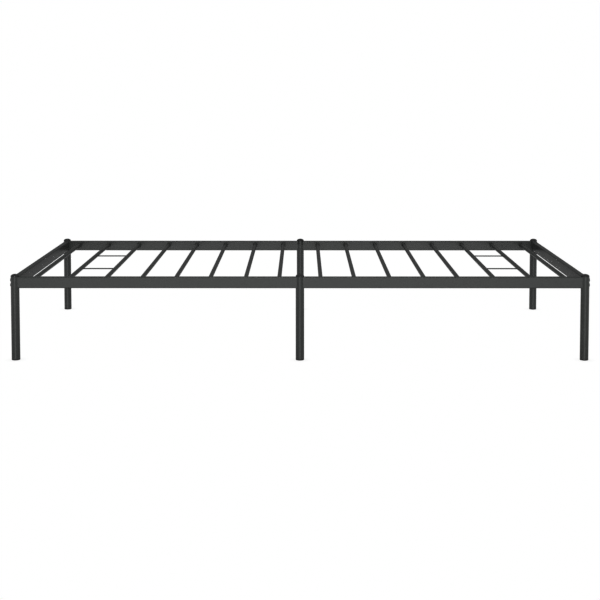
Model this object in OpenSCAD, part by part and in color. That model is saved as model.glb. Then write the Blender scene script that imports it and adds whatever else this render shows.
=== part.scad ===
// Single metal platform bed frame: six round legs, four half-length side rails, two end
// rails, tubular cross slats and short tie rods, bolted together at the legs.
// Millimetres. The origin is on the floor at the centre of the footprint, +X points to the
// foot end, +Y to the rear side and +Z up.

/* [Mattress] */
// Length of the mattress that the frame takes
mattress_length = 2000; // [1900:10:2100]
// Width of the mattress that the frame takes
mattress_width = 900; // [800:10:1000]
// Gap between the mattress and the inner face of each rail
mattress_gap = 10; // [6:0.5:14]

/* [Legs] */
// Outer diameter of the leg tube
leg_d = 30; // [29:0.5:34]
// Wall of the leg tube
leg_wall = 1.5; // [1:0.1:2]
// How far the leg tube stands above the rails
leg_stand = 1; // [0:0.5:5]
// Height of the domed cap on top of the leg tube
cap_h = 9; // [6:0.5:12]
// Height of the plastic band under the leg tube
foot_band = 4; // [3:0.5:8]

/* [Rails] */
// Height of the rails' top faces above the floor
rail_top = 300; // [250:5:450]
// Height of the rail tube's section
rail_h = 40; // [38:1:50]
// Thickness of the rail tube's section
rail_t = 20; // [18:0.5:20]
// Outer corner radius of the rail tube
rail_corner = 3; // [2.5:0.5:4]
// Wall of the rail tube
rail_wall = 1.5; // [1.2:0.1:1.6]

/* [Slats] */
// Outer diameter of the slat tube
slat_d = 15; // [12:0.5:18]
// Wall of the slat tube
slat_wall = 1.2; // [1:0.1:1.5]
// How far the slats' tops lie below the rails' top faces
slat_drop = 8; // [4:0.5:12]
// Diameter of the tie rods between the slats near each end
rod_d = 4.5; // [4:0.5:6]
// Distance of the tie rods from the frame's long centre line
rod_offset = 163; // [100:1:250]
// How far the tie rods' axes lie below the slats' axes
rod_drop = 4.5; // [0:0.5:5]

/* [Corner bolts] */
// Thread diameter of the bolts
bolt_d = 6; // [5:0.5:6]
// Diameter of the bolt head
head_d = 12; // [10:0.5:14]
// Thickness of the low, domed bolt head
head_h = 1.3; // [1.2:0.1:3]
// Vertical distance between the two bolts of a corner
bolt_pitch = 18; // [16:1:20]
// Length of the bolt under its head
bolt_length = 45; // [43:1:48]

/* [Middle joint] */
// Length of the inner tube that each half rail slides on, from the leg's axis
spigot_reach = 80; // [65:5:120]
// Distance of the countersunk screw from the leg's axis
screw_place = 45; // [35:1:50]
// Play between the inner tube and the inside of the rail, on each side
spigot_play = 0.3; // [0.2:0.1:0.6]

/* [Hidden] */
$fn = 64;
fine_fn = 360;
// Directions along X (head, foot) and Y (front, rear), and the places of the legs along X
HEAD = -1;
FOOT = 1;
FRONT = -1;
REAR = 1;
MIDDLE = 0;

// Slat places from the frame's middle, for a 2000 mm mattress: pitches vary a little
slat_places = [75, 197, 326, 451, 574, 704, 836, 962];
slat_pairs = len(slat_places);
stretch = mattress_length / 2000;

leg_x = mattress_length / 2 + mattress_gap + rail_t / 2;
leg_y = mattress_width / 2 + mattress_gap + rail_t / 2;
leg_top = rail_top + leg_stand;
rail_mid = rail_top - rail_h / 2;
rail_inside = mattress_width / 2 + mattress_gap;
slat_z = rail_top - slat_drop - slat_d / 2;
rod_z = slat_z - rod_drop;
bolt_levels = [rail_mid - bolt_pitch / 2, rail_mid + bolt_pitch / 2];

// Clearances and small fixed sizes
bolt_play = 0.3;
thread_play = 0.05;
plate_reach = 20;
plate_play = 0.2;
nut_flats = 10;
nut_h = 5;
washer_h = 0.5;
socket_flats = 4;
socket_depth = 1;
head_edge = 0.2;
head_steps = 8;
spigot_wall = 2;
screw_length = 12;
screw_socket = 2;
cap_edge = 1;
cap_steps = 10;
cap_stem = 7;
foot_stem = 18;
foot_chamfer = 0.8;
plug_wall = 2;
plug_play = 0.1;
eps = 0.01;

// Names and places of the repeated pieces
end_names = ["head", "foot"];
side_names = ["front", "rear"];
ends = [HEAD, FOOT];
sides = [FRONT, REAR];
leg_names = ["head", "middle", "foot"];
leg_places = [HEAD, MIDDLE, FOOT];
slat_count = 2 * slat_pairs;

function two_digits(n) = n < 10 ? str("0", n) : str(n);
function slat_name(i) = str("slat_", two_digits(i + 1));
function slat_x(i) =
    i < slat_pairs ? -stretch * slat_places[slat_pairs - 1 - i] : stretch * slat_places[i - slat_pairs];

steel = "#474948";
plastic = "#141414";
zinc = "#b4b6b8";

// ---- shared shapes -------------------------------------------------------------------

// Round tube standing on the origin
module round_tube(d, wall, h) {
    difference() {
        cylinder(d = d, h = h);
        translate([0, 0, -eps]) cylinder(d = d - 2 * wall, h = h + 2 * eps);
    }
}

// Rectangle with true round corners, centred
module round_rectangle(w, h, r) {
    square([w - 2 * r, h], center = true);
    square([w, h - 2 * r], center = true);
    for (x = [-1, 1], y = [-1, 1])
        translate([x * (w / 2 - r), y * (h / 2 - r)]) circle(r = r);
}

// Flat bar or tube section run along +X from the origin, t thick (Y) and h high (Z)
module bar_along_x(length, t, h, r) {
    rotate([90, 0, 90]) linear_extrude(length) round_rectangle(t, h, r);
}

module box_tube_along_x(length, t, h, r, wall) {
    difference() {
        bar_along_x(length, t, h, r);
        translate([-eps, 0, 0])
            bar_along_x(length + 2 * eps, t - 2 * wall, h - 2 * wall, max(r - wall, 0.5));
    }
}

// The space a leg takes up, used to cope whatever meets it
module leg_space() {
    cylinder(d = leg_d, h = 2 * rail_top, $fn = fine_fn);
}

// Hexagonal nut with its bore along Z, standing on the origin
module hex_nut() {
    difference() {
        cylinder(d = nut_flats / cos(30), h = nut_h, $fn = 6);
        translate([0, 0, -eps]) cylinder(d = bolt_d, h = nut_h + 2 * eps);
    }
}

// Both corner bolts' axes as holes of diameter d, through the leg and into the rail
module bolt_holes(d) {
    for (z = bolt_levels)
        translate([-leg_d, 0, z]) rotate([0, 90, 0]) cylinder(d = d, h = 2 * leg_d);
}

// Space of a countersunk screw that enters from below, its head flush with the origin
module screw_space(play) {
    translate([0, 0, -eps]) cylinder(d1 = head_d + 2 * play, d2 = bolt_d + 2 * play, h = head_d / 4);
    cylinder(d = bolt_d + 2 * play, h = screw_length);
}

// ---- legs ----------------------------------------------------------------------------

module leg(place, side) {
    color(steel) translate([place * leg_x, side * leg_y, 0]) difference() {
        translate([0, 0, foot_band]) round_tube(leg_d, leg_wall, leg_top - foot_band);
        if (place != MIDDLE) bolt_holes(bolt_d + 2 * bolt_play);
    }
}

// Hollow push-in stem with a snug outer face, hanging down from the origin
module plug_stem(length) {
    bore_d = leg_d - 2 * leg_wall - 2 * plug_play;
    translate([0, 0, -length]) difference() {
        cylinder(d = bore_d, h = length + eps);
        translate([0, 0, -eps]) cylinder(d = bore_d - 2 * plug_wall, h = length - plug_wall);
    }
}

// Domed cap: a low elliptical crown over a short straight edge
module cap(place, side) {
    crown_h = cap_h - cap_edge;
    crown = [for (i = [0 : cap_steps])
        [leg_d / 2 * cos(90 * i / cap_steps), cap_edge + crown_h * sin(90 * i / cap_steps)]];
    color(plastic) translate([place * leg_x, side * leg_y, leg_top]) {
        rotate_extrude() polygon(concat([[0, 0], [leg_d / 2, 0]], crown));
        plug_stem(cap_stem);
    }
}

// Foot glide: a flush band with a chamfered lower edge, and a stem up inside the leg
module glide(place, side) {
    r = leg_d / 2;
    color(plastic) translate([place * leg_x, side * leg_y, 0]) {
        rotate_extrude() polygon([
            [0, 0], [r - foot_chamfer, 0], [r, foot_chamfer], [r, foot_band], [0, foot_band]]);
        translate([0, 0, foot_band]) mirror([0, 0, 1]) plug_stem(foot_stem);
    }
}

// ---- rails ---------------------------------------------------------------------------

// Half-length side rail, coped at both ends to sit against the round legs
module side_rail(end, side) {
    color(steel) translate([0, side * leg_y, 0]) difference() {
        translate([end < 0 ? -leg_x : 0, 0, rail_mid])
            box_tube_along_x(leg_x, rail_t, rail_h, rail_corner, rail_wall);
        leg_space();
        translate([end * leg_x, 0, 0]) leg_space();
        translate([end * screw_place, 0, rail_top - rail_h]) screw_space(bolt_play);
    }
}

// End rail across the frame, welded between the two legs of its end
module end_rail(end) {
    color(steel) translate([end * leg_x, 0, 0]) difference() {
        translate([0, -leg_y, rail_mid]) rotate([0, 0, 90])
            box_tube_along_x(2 * leg_y, rail_t, rail_h, rail_corner, rail_wall);
        for (side = sides) translate([0, side * leg_y, 0]) leg_space();
    }
}

// ---- sleeping surface ----------------------------------------------------------------

module slat(i) {
    color(steel) translate([slat_x(i), -rail_inside, slat_z]) rotate([-90, 0, 0])
        round_tube(slat_d, slat_wall, 2 * rail_inside);
}

// Thin rod between the second and third slats from an end, coped to their round sides
module tie_rod(end, side) {
    inner_x = stretch * slat_places[slat_pairs - 3];
    outer_x = stretch * slat_places[slat_pairs - 2];
    color(steel) difference() {
        translate([end < 0 ? -outer_x : inner_x, side * rod_offset, rod_z]) rotate([0, 90, 0])
            cylinder(d = rod_d, h = outer_x - inner_x);
        for (x = [inner_x, outer_x])
            translate([end * x, -rail_inside, slat_z]) rotate([-90, 0, 0])
                cylinder(d = slat_d, h = 2 * rail_inside);
    }
}

// ---- corner joints -------------------------------------------------------------------

// Steel plate welded inside the rail's outer end, shaped to the leg and drilled for bolts
module threaded_plate(end, side) {
    color(zinc) translate([end * leg_x, side * leg_y, 0]) difference() {
        translate([end < 0 ? 0 : -plate_reach, 0, rail_mid]) bar_along_x(
            plate_reach,
            rail_t - 2 * rail_wall - 2 * plate_play,
            rail_h - 2 * rail_wall - 2 * plate_play,
            rail_corner - rail_wall);
        leg_space();
        bolt_holes(bolt_d + 2 * bolt_play);
    }
}

// Puts its children at every corner bolt, with +Z pointing out of the frame's end and the
// origin where the bolt's axis leaves the leg
module at_corner_bolts() {
    for (end = ends, side = sides, z = bolt_levels)
        translate([end * (leg_x + leg_d / 2), side * leg_y, z]) rotate([0, end * 90, 0]) children();
}

// Bolt with a low domed head and a hexagonal socket
module corner_bolts() {
    crown_h = head_h - head_edge;
    crown = [for (i = [0 : head_steps])
        [head_d / 2 * (1 - i / head_steps), head_h - crown_h * pow(1 - i / head_steps, 2)]];
    color(steel) at_corner_bolts() translate([0, 0, washer_h]) difference() {
        union() {
            translate([0, 0, -bolt_length]) cylinder(d = bolt_d - 2 * thread_play, h = bolt_length + eps);
            rotate_extrude() polygon(concat([[0, 0], [head_d / 2, 0]], crown));
        }
        translate([0, 0, head_h - socket_depth])
            cylinder(d = socket_flats / cos(30), h = socket_depth + eps, $fn = 6);
    }
}

// Washer with a hollow underside that sits on the round leg
module saddle_washers() {
    color(plastic) difference() {
        at_corner_bolts() translate([0, 0, -leg_d / 6]) difference() {
            cylinder(d = head_d, h = leg_d / 6 + washer_h);
            translate([0, 0, -eps]) cylinder(d = bolt_d + bolt_play, h = leg_d / 6 + washer_h + 2 * eps);
        }
        for (end = ends, side = sides) translate([end * leg_x, side * leg_y, 0]) leg_space();
    }
}

// Nuts welded behind the threaded plates
module corner_weld_nuts() {
    color(zinc) at_corner_bolts() translate([0, 0, -leg_d / 2 - plate_reach - nut_h]) rotate(30) hex_nut();
}

// ---- middle joints -------------------------------------------------------------------

// Inner tube welded to the middle leg; the half rail slides over it
module spigot(end, side) {
    t = rail_t - 2 * rail_wall - 2 * spigot_play;
    h = rail_h - 2 * rail_wall - 2 * spigot_play;
    color(zinc) translate([0, side * leg_y, 0]) difference() {
        translate([end < 0 ? -spigot_reach : 0, 0, rail_mid])
            box_tube_along_x(spigot_reach, t, h, rail_corner - rail_wall, spigot_wall);
        leg_space();
        translate([end * screw_place, 0, rail_top - rail_h]) screw_space(bolt_play);
    }
}

module at_spigot_screws() {
    for (end = ends, side = sides)
        translate([end * screw_place, side * leg_y, rail_top - rail_h]) children();
}

// Countersunk screws, flush with the underside of the rails
module spigot_screws() {
    color(zinc) at_spigot_screws() difference() {
        screw_space(-thread_play);
        translate([0, 0, -2 * eps]) cylinder(d = socket_flats / cos(30), h = screw_socket, $fn = 6);
    }
}

// Nuts welded inside the spigots, over the screw holes
module spigot_weld_nuts() {
    color(zinc) at_spigot_screws()
        translate([0, 0, rail_wall + spigot_play + spigot_wall]) hex_nut();
}

// ---- assembly ------------------------------------------------------------------------

module draw(name) {
    children();
}

for (l = [0 : 2], s = [0 : 1]) {
    draw(str("leg_", leg_names[l], "_", side_names[s])) leg(leg_places[l], sides[s]);
    draw(str("cap_", leg_names[l], "_", side_names[s])) cap(leg_places[l], sides[s]);
    draw(str("glide_", leg_names[l], "_", side_names[s])) glide(leg_places[l], sides[s]);
}
for (e = [0 : 1]) draw(str("end_rail_", end_names[e])) end_rail(ends[e]);
for (e = [0 : 1], s = [0 : 1]) {
    corner = str(end_names[e], "_", side_names[s]);
    draw(str("side_rail_", corner)) side_rail(ends[e], sides[s]);
    draw(str("tie_rod_", corner)) tie_rod(ends[e], sides[s]);
    draw(str("threaded_plate_", corner)) threaded_plate(ends[e], sides[s]);
    draw(str("spigot_", corner)) spigot(ends[e], sides[s]);
}
for (i = [0 : slat_count - 1]) draw(slat_name(i)) slat(i);
corner_bolts();
saddle_washers();
corner_weld_nuts();
spigot_screws();
spigot_weld_nuts();
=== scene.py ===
"""Finishes and small parts of a single metal bed frame, built around its packed model."""

import math

import bpy
from bpy.props import FloatProperty, FloatVectorProperty, IntProperty, PointerProperty
from mathutils import Matrix, Vector


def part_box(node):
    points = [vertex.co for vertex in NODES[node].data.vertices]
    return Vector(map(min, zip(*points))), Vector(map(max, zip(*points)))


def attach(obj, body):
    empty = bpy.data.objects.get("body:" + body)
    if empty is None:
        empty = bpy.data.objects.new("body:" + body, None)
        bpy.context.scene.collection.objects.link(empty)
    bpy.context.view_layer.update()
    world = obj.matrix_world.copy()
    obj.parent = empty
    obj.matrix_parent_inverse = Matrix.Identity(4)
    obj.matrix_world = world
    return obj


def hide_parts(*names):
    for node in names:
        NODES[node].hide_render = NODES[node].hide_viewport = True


bl_info = {
    "name": "Metal bed frame",
    "version": (1, 0, 0),
    "blender": (4, 5, 0),
    "location": "View3D > Sidebar > Bed frame",
    "description": "Caps, glides, bolts, welds and finishes of a single metal bed frame",
    "category": "Object",
}

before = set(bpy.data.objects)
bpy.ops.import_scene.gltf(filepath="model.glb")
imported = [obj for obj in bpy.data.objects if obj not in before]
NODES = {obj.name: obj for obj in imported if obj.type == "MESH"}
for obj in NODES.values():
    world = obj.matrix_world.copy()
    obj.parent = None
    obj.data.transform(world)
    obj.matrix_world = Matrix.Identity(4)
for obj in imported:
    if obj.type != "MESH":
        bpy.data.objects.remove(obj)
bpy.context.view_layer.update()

MM = 0.001
ENDS = {"head": -1, "foot": 1}
SIDES = {"front": -1, "rear": 1}
LEGS = [f"{place}_{side}" for place in ("head", "middle", "foot") for side in SIDES]
CORNERS = [f"{end}_{side}" for end in ENDS for side in SIDES]
SLATS = [n for n in sorted(NODES) if n.startswith("slat_")]
HALF = 0.5
QUARTER_TURN = math.pi / 2
FULL_TURN = 2 * math.pi
WHITE = (1, 1, 1)


# ---- places and sizes -----------------------------------------------------------------


def middle(node):
    """Centre of a node's box."""
    lo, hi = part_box(node)
    return (lo + hi) * HALF


def size(node):
    """Lengths of a node's box along X, Y and Z."""
    lo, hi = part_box(node)
    return hi - lo


# Read from the packed model, apart from the leg's wall, the play of the plugs in it and
# the rounding of the rails' corners, which a node's box doesn't show.
LEG_RADIUS = size("leg_head_front").x * HALF
LEG_WALL = 1.5 * MM
PLUG_PLAY = 0.1 * MM
PLUG_RADIUS = LEG_RADIUS - LEG_WALL - PLUG_PLAY
SLAT_RADIUS = size("slat_01").x * HALF
ROD_RADIUS = size("tie_rod_head_front").y * HALF
RAIL_HIGH = size("end_rail_head").z
RAIL_THICK = size("end_rail_head").x
RAIL_CORNER = 3 * MM


def at_legs(name, height):
    """A place at the given height on each leg's axis, under the name and the leg's."""
    return {f"{name}_{leg}": Matrix.Translation(
        (middle(f"leg_{leg}").x, middle(f"leg_{leg}").y, height)) for leg in LEGS}


# ---- what a user may change -----------------------------------------------------------


class CoatSettings(bpy.types.PropertyGroup):
    """Powder coat on all visible steel."""

    colour: FloatVectorProperty(
        name="Colour", description="Colour of the powder coat",
        default=(0.044, 0.047, 0.0455), size=3, min=0, max=1, subtype="COLOR")
    roughness: FloatProperty(
        name="Roughness", description="How matt the powder coat is",
        default=0.28, min=0.1, max=1, subtype="FACTOR")
    peel: FloatProperty(
        name="Orange peel", description="Depth of the coat's wavy surface",
        default=0.000012, min=0, max=0.001, unit="LENGTH", precision=6)
    peel_width: FloatProperty(
        name="Peel width", description="Distance between the waves of the coat",
        default=0.003, min=0.0005, max=0.01, unit="LENGTH", precision=5)


class PlasticSettings(bpy.types.PropertyGroup):
    """Moulded caps, glides and washers."""

    cap_colour: FloatVectorProperty(
        name="Cap colour", description="Colour of the leg caps",
        default=(0.026, 0.0265, 0.0265), size=3, min=0, max=1, subtype="COLOR")
    glide_colour: FloatVectorProperty(
        name="Glide colour", description="Colour of the foot glides and washers",
        default=(0.018, 0.018, 0.018), size=3, min=0, max=1, subtype="COLOR")
    edge: FloatProperty(
        name="Edge radius", description="Rounding of the moulded edges",
        default=0.0005, min=0.0001, max=0.002, unit="LENGTH", precision=5)
    sides: IntProperty(
        name="Sides", description="Sides of every round moulding", default=72, min=24, max=128)


class BoltSettings(bpy.types.PropertyGroup):
    """Corner bolts and middle screws."""

    head: FloatProperty(
        name="Head diameter", description="Diameter of the low, domed bolt heads",
        default=0.012, min=0.008, max=0.016, unit="LENGTH", precision=5)
    head_high: FloatProperty(
        name="Head thickness", description="Height of the low, domed bolt heads",
        default=0.0013, min=0.001, max=0.003, unit="LENGTH", precision=5)
    length: FloatProperty(
        name="Bolt length", description="Length of a corner bolt under its head",
        default=0.045, min=0.03, max=0.06, unit="LENGTH", precision=5)
    thread: FloatProperty(
        name="Thread diameter", description="Outer diameter of the thread",
        default=0.0059, min=0.004, max=0.007, unit="LENGTH", precision=5)
    pitch: FloatProperty(
        name="Thread pitch", description="Distance from one turn of the thread to the next",
        default=0.001, min=0.0005, max=0.0015, unit="LENGTH", precision=5)
    key: FloatProperty(
        name="Key size", description="Width across the flats of the hexagonal socket",
        default=0.004, min=0.002, max=0.006, unit="LENGTH", precision=5)
    colour: FloatVectorProperty(
        name="Colour", description="Colour of the black oxide",
        default=(0.022, 0.022, 0.024), size=3, min=0, max=1, subtype="COLOR")


class WeldSettings(bpy.types.PropertyGroup):
    """Weld beads under the powder coat."""

    slat_bead: FloatProperty(
        name="Slat bead", description="Radius of the weld bead round a slat's end",
        default=0.0017, min=0.0005, max=0.003, unit="LENGTH", precision=5)
    rod_bead: FloatProperty(
        name="Rod bead", description="Radius of the weld bead round a tie rod's end",
        default=0.0009, min=0.0003, max=0.002, unit="LENGTH", precision=5)
    rail_bead: FloatProperty(
        name="Rail bead", description="Radius of the weld bead round an end rail's end",
        default=0.0016, min=0.0005, max=0.003, unit="LENGTH", precision=5)
    ripple: FloatProperty(
        name="Ripple", description="How far the beads' radius varies along the weld",
        default=0.14, min=0, max=0.4, subtype="FACTOR")


class StageSettings(bpy.types.PropertyGroup):
    """Floor, lights and camera."""

    floor: FloatProperty(
        name="Floor radius", description="Radius of the round floor",
        default=60, min=5, max=100, unit="LENGTH")
    # Reach of the painted contact shadow that the floor paint puts round each foot.
    contact: FloatProperty(
        name="Contact shade", description="Width of the faint shade round each foot",
        default=0.03, min=0, max=0.2, unit="LENGTH")
    front: FloatProperty(
        name="Front fill", description="Power of the fill light behind the camera",
        default=217, min=0, max=2000, unit="POWER")
    ends: FloatProperty(
        name="End fill", description="Power of each fill light beyond the frame's ends",
        default=87, min=0, max=2000, unit="POWER")
    rear: FloatProperty(
        name="Rear fill", description="Power of the low fill light behind the frame",
        default=400, min=0, max=2000, unit="POWER")
    high_front: FloatProperty(
        name="High front light", description="Power of the raised light behind the camera",
        default=127, min=0, max=2000, unit="POWER")
    overhead: FloatProperty(
        name="Overhead fill", description="Power of the wide fill light above the frame",
        default=21, min=0, max=2000, unit="POWER")
    high_rear: FloatProperty(
        name="High rear fill", description="Power of the raised fill light behind the frame",
        default=65, min=0, max=2000, unit="POWER")
    room: FloatProperty(
        name="Room", description="Brightness of the room above the floor",
        default=0.57, min=0, max=3)
    room_rear: FloatProperty(
        name="Rear room", description="Brightness of the room behind the frame",
        default=0.24, min=0, max=3)
    bounce: FloatProperty(
        name="Bounce", description="Brightness of the floor under and beside the frame",
        default=0.10, min=0, max=3)
    bounce_rear: FloatProperty(
        name="Rear bounce", description="Brightness of the floor behind the frame",
        default=0.41, min=0, max=3)
    bounce_ring: FloatProperty(
        name="Distant bounce", description="Extra brightness of the floor far in front and beside",
        default=1.60, min=0, max=3)
    bounce_ahead: FloatProperty(
        name="Front bounce", description="Extra brightness of the floor straight in front",
        default=1.58, min=0, max=3)
    camera_at: FloatVectorProperty(
        name="Camera", description="Place of the camera",
        default=(0.0071, -4.6373, 0.9995), size=3, subtype="TRANSLATION")
    pitch: FloatProperty(
        name="Pitch", description="How far the camera looks down",
        default=math.radians(3.369), unit="ROTATION")
    yaw: FloatProperty(
        name="Yaw", description="How far the camera is turned to its left",
        default=math.radians(0.0939), unit="ROTATION")
    shift: FloatProperty(
        name="Shift", description="Vertical shift of the camera, in widths of the picture",
        default=-0.25, min=-0.5, max=0.5)
    lens: FloatProperty(
        name="Lens", description="Focal length of the camera in millimetres",
        default=70.47, min=20, max=200)
    contrast: FloatProperty(
        name="Tone", description="Gamma of the picture; below 1 deepens the dark tones",
        default=0.7, min=0.4, max=1.5)


# ---- shader maths ---------------------------------------------------------------------


class Value:
    """A number socket; arithmetic on it adds Math nodes to its tree."""

    def __init__(self, shader, socket):
        self.shader, self.socket = shader, socket

    def math(self, operation, *others):
        node = self.shader.node("ShaderNodeMath", {"operation": operation}, {
            i: v for i, v in enumerate((self, *others))})
        return Value(self.shader, node.outputs[0])

    def __add__(self, other):
        return self.math("ADD", other)

    def __sub__(self, other):
        return self.math("SUBTRACT", other)

    def __rsub__(self, other):
        return self.math("MULTIPLY", -1).math("ADD", other)

    def __mul__(self, other):
        return self.math("MULTIPLY", other)

    def __truediv__(self, other):
        return self.math("DIVIDE", other)

    def __pow__(self, other):
        return self.math("POWER", other)

    __radd__, __rmul__ = __add__, __mul__

    def root(self):
        return self.math("SQRT")

    def wave(self):
        return self.math("SINE")

    def size(self):
        return self.math("ABSOLUTE")

    def clipped(self):
        return self.math("MAXIMUM", 0).math("MINIMUM", 1)

    def ramp(self, start, stop):
        """0 up to start, 1 from stop on, and even steps between them."""
        return ((self - start) / (stop - start)).clipped()

    def swing(self, width):
        """Turns noise from 0 to 1 into a swing of the given width round 0."""
        return (self - HALF) * width


class Shader:
    """One material or world, and the nodes put into it."""

    def __init__(self, owner):
        owner.use_nodes = True
        self.tree = owner.node_tree
        self.tree.nodes.clear()

    def node(self, kind, settings=None, inputs=None):
        """Adds a node, then its settings, then the values or links of its sockets."""
        made = self.tree.nodes.new(kind)
        for name, value in (settings or {}).items():
            setattr(made, name, value)
        for key, value in (inputs or {}).items():
            target = made.inputs[key]
            if isinstance(value, Value):
                self.tree.links.new(value.socket, target)
            elif isinstance(value, bpy.types.NodeSocket):
                self.tree.links.new(value, target)
            else:
                target.default_value = value
        return made

    def place(self):
        """Object coordinates, and their three numbers."""
        here = self.node("ShaderNodeTexCoord").outputs["Object"]
        split = self.node("ShaderNodeSeparateXYZ", None, {"Vector": here})
        return (here, *(Value(self, s) for s in split.outputs))

    def facing_up(self):
        """How far the surface faces up, from 0 to 1."""
        normal = self.node("ShaderNodeNewGeometry").outputs["Normal"]
        up = self.node("ShaderNodeSeparateXYZ", None, {"Vector": normal}).outputs["Z"]
        return Value(self, up).clipped()

    def noise(self, where, width, detail=2.0, rough=0.5):
        """Smooth noise from 0 to 1 whose blotches are about width metres wide."""
        made = self.node("ShaderNodeTexNoise", {"normalize": True}, {
            "Vector": where, "Scale": 1 / width, "Detail": detail, "Roughness": rough})
        return Value(self, made.outputs["Fac"])

    def stretched(self, where, scale):
        """Coordinates scaled along each axis."""
        return self.node("ShaderNodeMapping", None, {
            "Vector": where, "Scale": scale}).outputs["Vector"]

    def blend(self, amount, first, second):
        """Colour between two colours."""
        made = self.node("ShaderNodeMix", {"data_type": "RGBA"}, {
            0: amount, 6: first, 7: second})
        return made.outputs[2]

    def bump(self, height, depth, strength=1.0, under=None):
        """Normal of a surface that rises by depth metres where height is 1."""
        inputs = {"Height": height, "Distance": depth, "Strength": strength}
        if under is not None:
            inputs["Normal"] = under
        return self.node("ShaderNodeBump", None, inputs).outputs["Normal"]

    def surface(self, **inputs):
        """The finished surface; underscores in the names stand for spaces."""
        named = {k.replace("_", " "): v for k, v in inputs.items()}
        made = self.node("ShaderNodeBsdfPrincipled", None, named)
        self.node("ShaderNodeOutputMaterial", None, {"Surface": made.outputs[0]})


def opaque(colour, gain=1.0):
    """A colour with full alpha, made lighter or darker by gain."""
    return (*(c * gain for c in colour), 1.0)


def powder_coat(name, shift):
    """Satin powder coat: fine orange peel over a faintly uneven, slightly dusty colour."""
    chosen = bpy.context.scene.bed_coat
    made = bpy.data.materials.new(name)
    shader = Shader(made)
    here, *_ = shader.place()
    here = shader.node("ShaderNodeMapping", None, {"Vector": here, "Location": shift}).outputs["Vector"]
    cloud = shader.noise(here, width=160 * MM, detail=3.0)
    speck = shader.noise(here, width=1.1 * MM, detail=1.0)
    peel = shader.noise(here, width=chosen.peel_width, detail=2.0, rough=0.45)
    grain = shader.noise(here, width=chosen.peel_width / 5, detail=1.0)
    dust = shader.facing_up() ** 3 * shader.noise(here, width=45 * MM, detail=4.0, rough=0.6) * 0.16
    tone = cloud.swing(0.5) + speck.swing(0.35) + HALF
    coat = shader.blend(tone.clipped(), opaque(chosen.colour, 0.86), opaque(chosen.colour, 1.14))
    coat = shader.blend(dust, coat, opaque(chosen.colour, 2.6))
    dull = cloud.swing(0.10) + grain.swing(0.08) + dust * 0.5 + chosen.roughness
    wavy = shader.bump(peel, chosen.peel)
    gritty = shader.bump(grain, chosen.peel / 4, under=wavy)
    shader.surface(Base_Color=coat, Roughness=dull.clipped(), Normal=gritty, IOR=1.5)
    return made


def moulded_cap(name):
    """Semi-gloss moulded plastic with a fine spark texture and faint flow lines."""
    chosen = bpy.context.scene.bed_plastic
    made = bpy.data.materials.new(name)
    shader = Shader(made)
    here, *_ = shader.place()
    flow = shader.noise(shader.stretched(here, (1, 1, 5)), width=6 * MM, detail=3.0)
    spark = shader.noise(here, width=0.5 * MM, detail=1.0)
    dust = shader.facing_up() ** 4 * shader.noise(here, width=4 * MM, detail=4.0, rough=0.65) * 0.10
    shade = shader.blend(flow, opaque(chosen.cap_colour, 0.8), opaque(chosen.cap_colour, 1.25))
    shade = shader.blend(dust, shade, opaque(chosen.cap_colour, 2.6))
    dull = flow * 0.10 + spark * 0.05 + dust * 0.8 + 0.22
    shader.surface(Base_Color=shade, Roughness=dull.clipped(),
               Normal=shader.bump(spark, 0.02 * MM), IOR=1.5)
    return made


def moulded_glide(name):
    """Matt moulded plastic, scuffed a little lighter towards the floor."""
    chosen = bpy.context.scene.bed_plastic
    made = bpy.data.materials.new(name)
    shader = Shader(made)
    here, _, _, high = shader.place()
    scuffed = size("glide_head_front").z * 0.25
    low = (1 - high / scuffed).clipped()
    scuff = low * shader.noise(shader.stretched(here, (1, 1, 3)), width=3.5 * MM, detail=4.0, rough=0.7)
    spark = shader.noise(here, width=0.7 * MM, detail=2.0)
    shade = shader.blend(
        (scuff * 0.8).clipped(), opaque(chosen.glide_colour), opaque(chosen.glide_colour, 3.2))
    dull = spark * 0.14 + scuff * 0.2 + 0.5
    shader.surface(Base_Color=shade, Roughness=dull.clipped(),
               Normal=shader.bump(spark, 0.04 * MM), IOR=1.48)
    return made


def black_oxide(name):
    """Oiled black oxide with fine turning rings round each corner bolt's axis."""
    chosen = bpy.context.scene.bed_bolts
    made = bpy.data.materials.new(name)
    shader = Shader(made)
    here, _, across, high = shader.place()
    lo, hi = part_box("corner_bolts")
    head, ring_gap = chosen.head * HALF, 0.35 * MM
    off_y = across.size() - (hi.y - head)
    off_z = (high - middle("corner_bolts").z).size() - (size("corner_bolts").z * HALF - head)
    rings = ((off_y * off_y + off_z * off_z).root() * (FULL_TURN / ring_gap)).wave()
    blotch = shader.noise(here, width=2.2 * MM, detail=3.0, rough=0.6)
    shade = shader.blend(blotch, opaque(chosen.colour, 0.7), opaque(chosen.colour, 1.5))
    dull = blotch * 0.16 + rings * 0.03 + 0.30
    shader.surface(Base_Color=shade, Metallic=0.55, Roughness=dull.clipped(),
               Normal=shader.bump(rings, 0.006 * MM))
    return made


def zinc(name):
    """Zinc-plated steel of the hidden joint pieces, with faint crystals and rolling marks."""
    made = bpy.data.materials.new(name)
    shader = Shader(made)
    here, *_ = shader.place()
    crystals_per_metre = 260.0
    crystal = Value(shader, shader.node("ShaderNodeTexVoronoi", None, {
        "Vector": here, "Scale": crystals_per_metre}).outputs["Distance"])
    rolled = shader.noise(shader.stretched(here, (4, 60, 60)), width=50 * MM, detail=3.0)
    tone = (crystal * 0.5 + rolled * 0.6).clipped()
    grey, bright = (0.42, 0.43, 0.45), (0.60, 0.60, 0.59)
    shade = shader.blend(tone, opaque(grey), opaque(bright))
    dull = rolled * 0.22 + crystal * 0.10 + 0.26
    shader.surface(Base_Color=shade, Metallic=1.0, Roughness=dull.clipped(),
               Normal=shader.bump(rolled, 0.02 * MM, strength=0.6))
    return made


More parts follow.
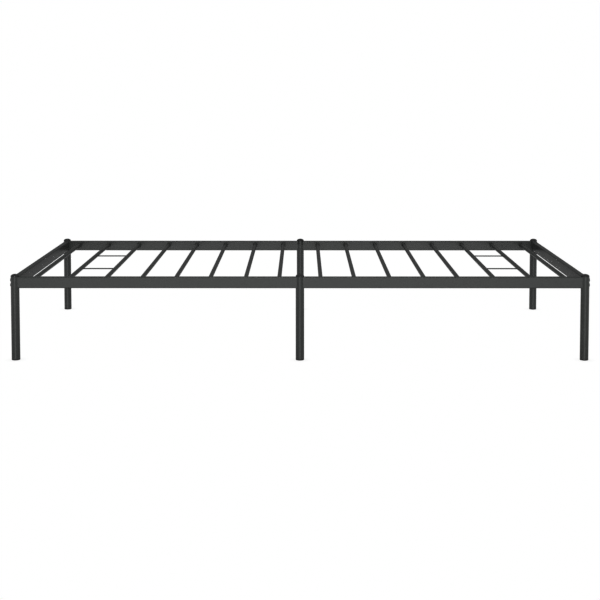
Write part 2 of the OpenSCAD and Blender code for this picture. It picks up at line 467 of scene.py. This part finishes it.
def floor_paint(name):
    """Plain white glowing floor, with a painted contact shadow close round the feet."""
    made = bpy.data.materials.new(name)
    shader = Shader(made)
    near = shader.node("ShaderNodeAmbientOcclusion", {"samples": 8}, {
        "Distance": bpy.context.scene.bed_stage.contact})
    # Painted contact shadow: the glow's colour falls towards 0.8 where the AO node finds the feet close
    # by.
    shade = shader.blend(near.outputs["AO"], opaque(WHITE, 0.8), opaque(WHITE))
    glow = shader.node("ShaderNodeEmission", None, {"Color": shade, "Strength": 1.0})
    shader.node("ShaderNodeOutputMaterial", None, {"Surface": glow.outputs[0]})
    return made


# ---- modelling helpers ----------------------------------------------------------------


def nothing_selected():
    """Leaves edit mode, with no object selected."""
    if bpy.context.mode != "OBJECT":
        bpy.ops.object.mode_set(mode="OBJECT")
    bpy.ops.object.select_all(action="DESELECT")


def named(name):
    """The active object under a new name, on its own in the selection."""
    obj = bpy.context.active_object
    obj.name = obj.data.name = name
    return obj


def turned(name, rings, sides):
    """A solid turned on +Z: a disc, extruded and resized from ring to ring (radius, height)."""
    nothing_selected()
    (r, z), *others = rings
    bpy.ops.mesh.primitive_circle_add(
        vertices=sides, radius=r, fill_type="NGON", location=(0, 0, z))
    obj = named(name)
    bpy.ops.object.transform_apply(location=True, rotation=True, scale=True)
    bpy.ops.object.mode_set(mode="EDIT")
    bpy.ops.mesh.select_all(action="SELECT")
    for wide, high in others:
        bpy.ops.mesh.extrude_region_move(TRANSFORM_OT_translate={"value": (0, 0, high - z)})
        bpy.ops.transform.resize(value=(wide / r, wide / r, 1), center_override=(0, 0, high))
        r, z = wide, high
    bpy.ops.mesh.select_all(action="SELECT")
    bpy.ops.mesh.normals_make_consistent(inside=False)
    bpy.ops.object.mode_set(mode="OBJECT")
    return obj


def cut(obj, tool):
    """Takes tool's shape out of obj and removes tool."""
    nothing_selected()
    obj.select_set(True)
    bpy.context.view_layer.objects.active = obj
    cutter = obj.modifiers.new("cut", "BOOLEAN")
    cutter.operation, cutter.solver, cutter.object = "DIFFERENCE", "EXACT", tool
    bpy.ops.object.modifier_apply(modifier=cutter.name)
    bpy.data.objects.remove(tool, do_unlink=True)


def smoothed(obj, angle):
    """Smooths obj's faces, but not over edges sharper than angle degrees."""
    nothing_selected()
    obj.select_set(True)
    bpy.context.view_layer.objects.active = obj
    bpy.ops.object.shade_smooth_by_angle(angle=math.radians(angle))
    return obj


def copies(pattern, places):
    """One object for each name in places, its mesh a copy of pattern's put in its place."""
    made = []
    for name, matrix in places.items():
        mesh = pattern.data.copy()
        mesh.transform(matrix)
        mesh.name = name
        obj = bpy.data.objects.new(name, mesh)
        bpy.context.collection.objects.link(obj)
        made.append(obj)
    bpy.data.objects.remove(pattern, do_unlink=True)
    return made


def finished(obj, material, slot, *stands_for):
    """Gives a new piece its finish, its body and the CAD nodes that it stands for."""
    obj.data.materials.clear()
    obj.data.materials.append(material)
    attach(obj, "root")
    if stands_for:
        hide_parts(*stands_for)
    return obj


def bead(name, radius, ripples, outline):
    """A closed weld bead of the given radius; outline(angle) gives the points it runs through."""
    nothing_selected()
    bpy.ops.mesh.primitive_circle_add(vertices=2 * ripples, radius=1)
    obj = named(name)
    for i, v in enumerate(obj.data.vertices):
        v.co = outline(FULL_TURN * i / len(obj.data.vertices))
    bpy.ops.object.convert(target="CURVE")
    obj = bpy.context.active_object
    wave = bpy.context.scene.bed_welds.ripple
    obj.data.bevel_depth, obj.data.bevel_resolution = radius, 2
    for i, p in enumerate(obj.data.splines[0].points):
        p.radius = 1 - wave * (i % 2) + wave * HALF * math.sin(i * 0.9)
    bpy.ops.object.convert(target="MESH")
    obj = named(name)
    bpy.ops.object.mode_set(mode="EDIT")
    bpy.ops.mesh.select_all(action="SELECT")
    bpy.ops.mesh.normals_make_consistent(inside=False)
    bpy.ops.object.mode_set(mode="OBJECT")
    bpy.ops.object.shade_smooth()
    return obj


def joined(name, objects):
    """Several objects as one piece."""
    nothing_selected()
    for obj in objects:
        obj.select_set(True)
    bpy.context.view_layer.objects.active = objects[0]
    bpy.ops.object.join()
    return named(name)


def arc(radius, start, stop, steps, centre=(0.0, 0.0)):
    """Points (radius, height) on an arc, its angles in degrees from straight out."""
    angles = [math.radians(start + (stop - start) * i / steps) for i in range(steps + 1)]
    return [(centre[0] + radius * math.cos(a), centre[1] + radius * math.sin(a)) for a in angles]


def ribs(core, crest, starts, rise, wide):
    """Rings of the ribs round a stem, each of which rises from core to crest and falls back."""
    return [ring for z in starts for ring in ((core, z), (crest, z + rise), (core, z + wide))]


def threads(root, crest, start, pitch, turns):
    """Rings of a thread, turn by turn, with a narrow flat on each crest."""
    rings = []
    for i in range(turns):
        z = start + i * pitch
        rings += [(root, z), (crest, z + pitch * 0.45), (crest, z + pitch * 0.55)]
    return rings


def round_rail(part, wide, high, radius):
    """Point a part of the way round a tube; wide and high reach to its corners' centres."""
    corner_run = QUARTER_TURN * radius
    centres = [(wide, -high), (wide, high), (-wide, high), (-wide, -high)]
    flats = [2 * high, 2 * wide, 2 * high, 2 * wide]
    run = part * (sum(flats) + 4 * corner_run)
    for i, flat in enumerate(flats):
        out = i * QUARTER_TURN
        if run <= flat:
            x, z = centres[i]
            return (x + radius * math.cos(out) - run * math.sin(out),
                    z + radius * math.sin(out) + run * math.cos(out))
        run -= flat
        if run <= corner_run:
            out += run / radius
            x, z = centres[(i + 1) % 4]
            return x + radius * math.cos(out), z + radius * math.sin(out)
        run -= corner_run
    raise ValueError("part is past a whole turn")


# ---- pieces ---------------------------------------------------------------------------


class BED_OT_steel_finish(bpy.types.Operator):
    """Gives the legs, rails, slats, tie rods and hidden joint pieces their finishes"""

    bl_idname = "bed.steel_finish"
    bl_label = "Steel finish"

    def execute(self, context):
        looks = {
            "leg_": powder_coat("leg powder coat", (0, 0, 0)),
            "side_rail_": powder_coat("side rail powder coat", (3.1, 0, 0)),
            "end_rail_": powder_coat("end rail powder coat", (0, 4.7, 0)),
            "slat_": powder_coat("slat powder coat", (0, 0, 6.3)),
            "tie_rod_": powder_coat("tie rod powder coat", (1.9, 2.3, 0)),
            "saddle_washers": moulded_glide("moulded washer"),
        }
        hidden = zinc("zinc plate")
        for name, obj in NODES.items():
            look = next((m for start, m in looks.items() if name.startswith(start)), hidden)
            obj.data.materials.clear()
            obj.data.materials.append(look)
        return {"FINISHED"}


class BED_OT_leg_caps(bpy.types.Operator):
    """Domed push-in caps on top of the six legs"""

    bl_idname = "bed.leg_caps"
    bl_label = "Leg caps"

    def execute(self, context):
        chosen = context.scene.bed_plastic
        lo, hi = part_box("cap_head_front")
        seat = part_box("leg_head_front")[1].z
        stem, crown, rim = seat - lo.z, hi.z - seat, 1.0 * MM
        core, chamfer = PLUG_RADIUS - 0.9 * MM, 0.7 * MM
        rings = [(core - chamfer, -stem), (core, -stem + chamfer)]
        rings += ribs(core, PLUG_RADIUS, (-stem + 1.4 * MM, -stem + 3.8 * MM), 0.5 * MM, 1.1 * MM)
        rings += [(core, -0.2 * MM), (LEG_RADIUS - chosen.edge, 0.0)]
        rings += arc(chosen.edge, -90, 0, 4, (LEG_RADIUS - chosen.edge, chosen.edge))[1:]
        steps = 14
        for i in range(steps):
            rise = QUARTER_TURN * i / steps
            rings.append((LEG_RADIUS * math.cos(rise), rim + (crown - rim) * math.sin(rise)))
        gate, gate_deep = 2.0 * MM, 0.34 * MM
        rings += [(gate, crown - 0.04 * MM), (gate - 0.4 * MM, crown - 0.30 * MM),
                  (0.3 * MM, crown - gate_deep)]
        cap = smoothed(turned("leg cap", rings, chosen.sides), 40)
        look = moulded_cap("moulded cap")
        for leg, obj in zip(LEGS, copies(cap, at_legs("leg_cap", seat))):
            finished(obj, look, "cap_plastic", f"cap_{leg}")
        return {"FINISHED"}


class BED_OT_foot_glides(bpy.types.Operator):
    """Plastic foot glides pushed into the legs' lower ends"""

    bl_idname = "bed.foot_glides"
    bl_label = "Foot glides"

    def execute(self, context):
        chosen = context.scene.bed_plastic
        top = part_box("glide_head_front")[1].z
        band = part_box("leg_head_front")[0].z
        core, chamfer, dish = PLUG_RADIUS - 0.8 * MM, 0.8 * MM, 0.6 * MM
        rings = [(2.0 * MM, dish), (7.0 * MM, dish), (7.6 * MM, 0.1 * MM), (8.2 * MM, 0.0),
                 (LEG_RADIUS - 2.0 * MM, 0.0)]
        rings += arc(chamfer, -90, 0, 5, (LEG_RADIUS - chamfer, chamfer))
        rings += arc(chosen.edge, 0, 90, 4, (LEG_RADIUS - chosen.edge, band - chosen.edge))
        rings.append((core, band + 0.2 * MM))
        rings += ribs(core, PLUG_RADIUS, [band + up * MM for up in (3, 8, 13)], 0.6 * MM, 1.6 * MM)
        rings += [(core, top - 1.2 * MM), (core - 1.2 * MM, top), (3 * MM, top)]
        glide = smoothed(turned("foot glide", rings, chosen.sides), 40)
        look = moulded_glide("moulded glide")
        for leg, obj in zip(LEGS, copies(glide, at_legs("foot_glide", 0))):
            finished(obj, look, "glide_plastic", f"glide_{leg}")
        return {"FINISHED"}


def hexagonal_key(width, top, deep):
    """A six-sided peg that cuts a key socket down from top."""
    nothing_selected()
    taper = deep / 4
    bpy.ops.mesh.primitive_cone_add(
        vertices=6, radius1=width * 0.35, radius2=width / math.sqrt(3),
        depth=taper, location=(0, 0, top - deep + taper * HALF))
    obj = named("key")
    bpy.ops.object.transform_apply(location=True, rotation=True, scale=True)
    bpy.ops.object.mode_set(mode="EDIT")
    bpy.ops.mesh.select_all(action="DESELECT")
    bpy.ops.object.mode_set(mode="OBJECT")
    for face in obj.data.polygons:
        face.select = face.normal.z > 0.9
    bpy.ops.object.mode_set(mode="EDIT")
    bpy.ops.mesh.extrude_region_move(TRANSFORM_OT_translate={"value": (0, 0, deep)})
    bpy.ops.object.mode_set(mode="OBJECT")
    return obj


class BED_OT_corner_bolts(bpy.types.Operator):
    """Bolts with low, domed heads, two through each corner leg into the side rail"""

    bl_idname = "bed.corner_bolts"
    bl_label = "Corner bolts"

    def execute(self, context):
        chosen = context.scene.bed_bolts
        lo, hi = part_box("corner_bolts")
        outer, head, tip = chosen.thread * HALF, chosen.head * HALF, -chosen.length
        shank, shank_from, turns = outer - 0.1 * MM, tip + 24 * MM, 22
        rings = [(outer - 0.9 * MM, tip), (outer - 0.5 * MM, tip + 0.5 * MM)]
        rings += threads(outer - 0.45 * MM, outer, tip + 0.9 * MM, chosen.pitch, turns)
        rings += [(shank, shank_from), (shank, -0.6 * MM), (outer, 0.0)]
        rings += [(head - 0.15 * MM, 0.0), (head, 0.08 * MM)]
        steps, edge = 9, 0.2 * MM
        for i in range(steps - 2):
            out = 1 - i / steps
            rings.append((head * out, chosen.head_high - (chosen.head_high - edge) * out ** 2))
        bolt = turned("corner bolt", rings, 48)
        cut(bolt, hexagonal_key(chosen.key, chosen.head_high, 1.0 * MM))
        smoothed(bolt, 32)
        look = black_oxide("black oxide")
        high = {"lower": lo.z + head, "upper": hi.z - head}
        places = {}
        for corner in CORNERS:
            end, side = corner.split("_")
            face = ENDS[end] * (hi.x - chosen.head_high)
            for level, z in high.items():
                spot = Matrix.Translation((face, middle(f"leg_{corner}").y, z))
                turn = Matrix.Rotation(ENDS[end] * QUARTER_TURN, 4, "Y")
                places[f"corner_bolt_{corner}_{level}"] = spot @ turn
        for obj in copies(bolt, places):
            finished(obj, look, "bolt_black", "corner_bolts")
        return {"FINISHED"}


class BED_OT_middle_screws(bpy.types.Operator):
    """Countersunk screws under the side rails, beside the middle legs"""

    bl_idname = "bed.middle_screws"
    bl_label = "Middle screws"

    def execute(self, context):
        chosen = context.scene.bed_bolts
        lo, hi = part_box("spigot_screws")
        outer, head, tip = chosen.thread * HALF, chosen.head * HALF, lo.z - hi.z
        cone = head - outer
        turns = int((-tip - cone) / chosen.pitch) - 1
        rings = [(outer - 0.7 * MM, tip), (outer, tip + 0.5 * MM)]
        rings += threads(outer - 0.45 * MM, outer, tip + 0.7 * MM, chosen.pitch, turns)
        rings += [(outer - 0.05 * MM, -cone), (head - 0.35 * MM, -0.25 * MM),
                  (head - 0.25 * MM, -0.05 * MM), (head - 0.5 * MM, 0.0), (2.9 * MM, 0.0)]
        screw = turned("middle screw", rings, 40)
        cut(screw, hexagonal_key(chosen.key, 0.0, 2.0 * MM))
        smoothed(screw, 32)
        look = black_oxide("black oxide screw")
        places = {}
        for corner in CORNERS:
            end, side = corner.split("_")
            spot = Matrix.Translation((ENDS[end] * (hi.x - head), SIDES[side] * (hi.y - head), lo.z))
            places[f"middle_screw_{corner}"] = spot @ Matrix.Rotation(math.pi, 4, "X")
        for obj in copies(screw, places):
            finished(obj, look, "bolt_black", "spigot_screws")
        return {"FINISHED"}


class BED_OT_slat_welds(bpy.types.Operator):
    """Weld beads where the slats meet the side rails"""

    bl_idname = "bed.slat_welds"
    bl_label = "Slat welds"

    def execute(self, context):
        chosen = context.scene.bed_welds
        look = powder_coat("slat weld powder coat", (0, 0, 6.3))
        ring = SLAT_RADIUS + chosen.slat_bead * 0.35
        for side, sign in SIDES.items():
            beads = {end: [] for end in ENDS}
            for slat in SLATS:
                mid = middle(slat)
                face = mid.y + sign * (size(slat).y * HALF - chosen.slat_bead * 0.3)

                def outline(angle, mid=mid, face=face):
                    return Vector((mid.x + ring * math.cos(angle), face, mid.z + ring * math.sin(angle)))

                beads["head" if mid.x < 0 else "foot"].append(
                    bead(f"bead {slat}", chosen.slat_bead, 22, outline))
            for end, made in beads.items():
                finished(joined(f"slat_welds_{end}_{side}", made), look, "slat_coat")
        return {"FINISHED"}


class BED_OT_rod_welds(bpy.types.Operator):
    """Small weld beads where the tie rods meet the slats"""

    bl_idname = "bed.rod_welds"
    bl_label = "Tie rod welds"

    def execute(self, context):
        chosen = context.scene.bed_welds
        look = powder_coat("tie rod weld powder coat", (1.9, 2.3, 0))
        ring = ROD_RADIUS + chosen.rod_bead * 0.3
        for corner in CORNERS:
            rod, made = f"tie_rod_{corner}", []
            mid = middle(rod)
            near = sorted(SLATS, key=lambda n: abs(middle(n).x - mid.x))[:2]
            for slat in near:
                axis = middle(slat)
                towards = 1 if mid.x > axis.x else -1

                def outline(angle, axis=axis, towards=towards):
                    z = mid.z + ring * math.sin(angle)
                    x = axis.x + towards * math.sqrt(SLAT_RADIUS ** 2 - (z - axis.z) ** 2)
                    return Vector((x, mid.y + ring * math.cos(angle), z))

                made.append(bead(f"bead {slat}", chosen.rod_bead, 12, outline))
            finished(joined(f"tie_rod_welds_{corner}", made), look, "slat_coat")
        return {"FINISHED"}


class BED_OT_end_rail_welds(bpy.types.Operator):
    """Weld beads where the end rails meet the corner legs"""

    bl_idname = "bed.end_rail_welds"
    bl_label = "End rail welds"

    def execute(self, context):
        chosen = context.scene.bed_welds
        look = powder_coat("end rail weld powder coat", (0, 4.7, 0))
        wide, high = RAIL_THICK * HALF - RAIL_CORNER, RAIL_HIGH * HALF - RAIL_CORNER
        for corner in CORNERS:
            end, side = corner.split("_")
            leg, rail = middle(f"leg_{corner}"), middle(f"end_rail_{end}")

            def outline(angle, leg=leg, rail=rail, inward=-SIDES[side]):
                x, z = round_rail(angle / FULL_TURN, wide, high, RAIL_CORNER)
                y = leg.y + inward * (math.sqrt(LEG_RADIUS ** 2 - x * x) + chosen.rail_bead * 0.2)
                return Vector((leg.x + x, y, rail.z + z))

            finished(bead(f"end_rail_weld_{corner}", chosen.rail_bead, 48, outline), look, "rail_coat")
        return {"FINISHED"}


def white_floor(chosen):
    """Round floor that only the camera sees, just low enough to stay clear of the glides."""
    nothing_selected()
    bpy.ops.mesh.primitive_circle_add(vertices=96, radius=chosen.floor, fill_type="NGON")
    floor = named("floor")
    floor.location.z = -0.5 * MM
    floor.data.materials.append(floor_paint("floor paint"))
    floor.visible_diffuse = floor.visible_glossy = floor.visible_shadow = False


def studio_lights(chosen):
    """Soft lights aimed at the frame; the fills leave no reflection in the coat."""
    look_at = Vector((0, 0, 0.25))
    for name, where, (wide, high), power, reflected in (
            ("front fill", (0, -7.0, 1.0), (2.2, 1.5), chosen.front, False),
            ("left fill", (-6.0, 0, 0.2), (2.0, 1.0), chosen.ends, False),
            ("right fill", (6.0, 0, 0.2), (2.0, 1.0), chosen.ends, False),
            ("rear fill", (0, 7.0, -0.4), (6.0, 1.5), chosen.rear, False),
            ("overhead fill", (0, -0.5, 4.0), (5.0, 3.0), chosen.overhead, False),
            ("high rear fill", (0, 4.5, 4.0), (5.0, 2.0), chosen.high_rear, False),
            ("high front light", (0, -5.5, 4.5), (2.5, 2.5), chosen.high_front, True)):
        bpy.ops.object.light_add(type="AREA", location=where)
        lamp = bpy.context.active_object
        lamp.name = lamp.data.name = name
        lamp.data.shape, lamp.data.size, lamp.data.size_y = "RECTANGLE", wide, high
        lamp.data.energy = power
        lamp.rotation_euler = (look_at - Vector(where)).to_track_quat("-Z", "Y").to_euler()
        lamp.visible_camera, lamp.visible_glossy = False, reflected


def studio_surround(chosen):
    """Room and floor as the frame sees them by direction; the camera sees plain white."""
    scene = bpy.context.scene
    scene.world = scene.world or bpy.data.worlds.new("studio")
    shader = Shader(scene.world)
    towards = shader.node("ShaderNodeTexCoord").outputs["Generated"]
    split = shader.node("ShaderNodeSeparateXYZ", None, {"Vector": towards})
    x, y, z = (Value(shader, part) for part in split.outputs)
    # Each is 1 in one part of the surround: under the horizon, behind the frame, where the
    # floor is far away, and in a wedge straight in front.
    below = z.ramp(0, -0.025)
    rear = y.ramp(0.6, 0.8)
    distant = z.ramp(-0.22, -0.12)
    ahead = (y * -0.35 - x.size()).ramp(0, 0.1)
    room = rear * (chosen.room_rear - chosen.room) + chosen.room
    near = rear * (chosen.bounce_rear - chosen.bounce) + chosen.bounce
    floor_glow = near + distant * (1 - rear) * chosen.bounce_ring + ahead * chosen.bounce_ahead
    surround = shader.node("ShaderNodeBackground", None, {
        "Color": opaque(WHITE), "Strength": room + (floor_glow - room) * below})
    plain = shader.node("ShaderNodeBackground", None, {"Color": opaque(WHITE), "Strength": 1.0})
    seen = shader.node("ShaderNodeLightPath").outputs["Is Camera Ray"]
    both = shader.node("ShaderNodeMixShader", None, {
        0: seen, 1: surround.outputs[0], 2: plain.outputs[0]})
    shader.node("ShaderNodeOutputWorld", None, {"Surface": both.outputs[0]})


def studio_camera(chosen):
    """Camera before the middle of the frame's front side, and the tone of its picture."""
    bpy.ops.object.camera_add(location=chosen.camera_at)
    camera = bpy.context.active_object
    camera.name = camera.data.name = "camera"
    camera.rotation_euler = (QUARTER_TURN - chosen.pitch, 0, chosen.yaw)
    full_frame_width, beyond_floor = 36, 200
    camera.data.lens, camera.data.sensor_width = chosen.lens, full_frame_width
    camera.data.shift_y, camera.data.clip_end = chosen.shift, beyond_floor
    scene = bpy.context.scene
    scene.camera = camera
    scene.view_settings.view_transform = "Standard"
    scene.view_settings.gamma = chosen.contrast


class BED_OT_stage(bpy.types.Operator):
    """Pale floor, soft studio lights and the camera"""

    bl_idname = "bed.stage"
    bl_label = "Stage"

    def execute(self, context):
        chosen = context.scene.bed_stage
        white_floor(chosen)
        studio_lights(chosen)
        studio_surround(chosen)
        studio_camera(chosen)
        return {"FINISHED"}


class BED_PT_panel(bpy.types.Panel):
    """Lists the frame's operators and settings"""

    bl_idname = "BED_PT_panel"
    bl_label = "Bed frame"
    bl_space_type = "VIEW_3D"
    bl_region_type = "UI"
    bl_category = "Bed frame"

    def draw(self, context):
        for operator in OPERATORS:
            self.layout.operator(operator.bl_idname)
        for name in SETTINGS:
            group = getattr(context.scene, name)
            box = self.layout.box()
            box.label(text=group.__doc__)
            for prop in group.__annotations__:
                box.prop(group, prop)


OPERATORS = (
    BED_OT_stage,
    BED_OT_steel_finish,
    BED_OT_leg_caps,
    BED_OT_foot_glides,
    BED_OT_corner_bolts,
    BED_OT_middle_screws,
    BED_OT_slat_welds,
    BED_OT_rod_welds,
    BED_OT_end_rail_welds,
)
SETTINGS = {
    "bed_coat": CoatSettings,
    "bed_plastic": PlasticSettings,
    "bed_bolts": BoltSettings,
    "bed_welds": WeldSettings,
    "bed_stage": StageSettings,
}


def register():
    for group in SETTINGS.values():
        bpy.utils.register_class(group)
    for name, group in SETTINGS.items():
        setattr(bpy.types.Scene, name, PointerProperty(type=group))
    for made in (*OPERATORS, BED_PT_panel):
        bpy.utils.register_class(made)


def unregister():
    for made in (BED_PT_panel, *reversed(OPERATORS)):
        bpy.utils.unregister_class(made)
    for name in SETTINGS:
        delattr(bpy.types.Scene, name)
    for group in reversed(SETTINGS.values()):
        bpy.utils.unregister_class(group)


def main():
    register()
    for operator in OPERATORS:
        family, name = operator.bl_idname.split(".")
        getattr(getattr(bpy.ops, family), name)()


if __name__ == "__main__":
    main()
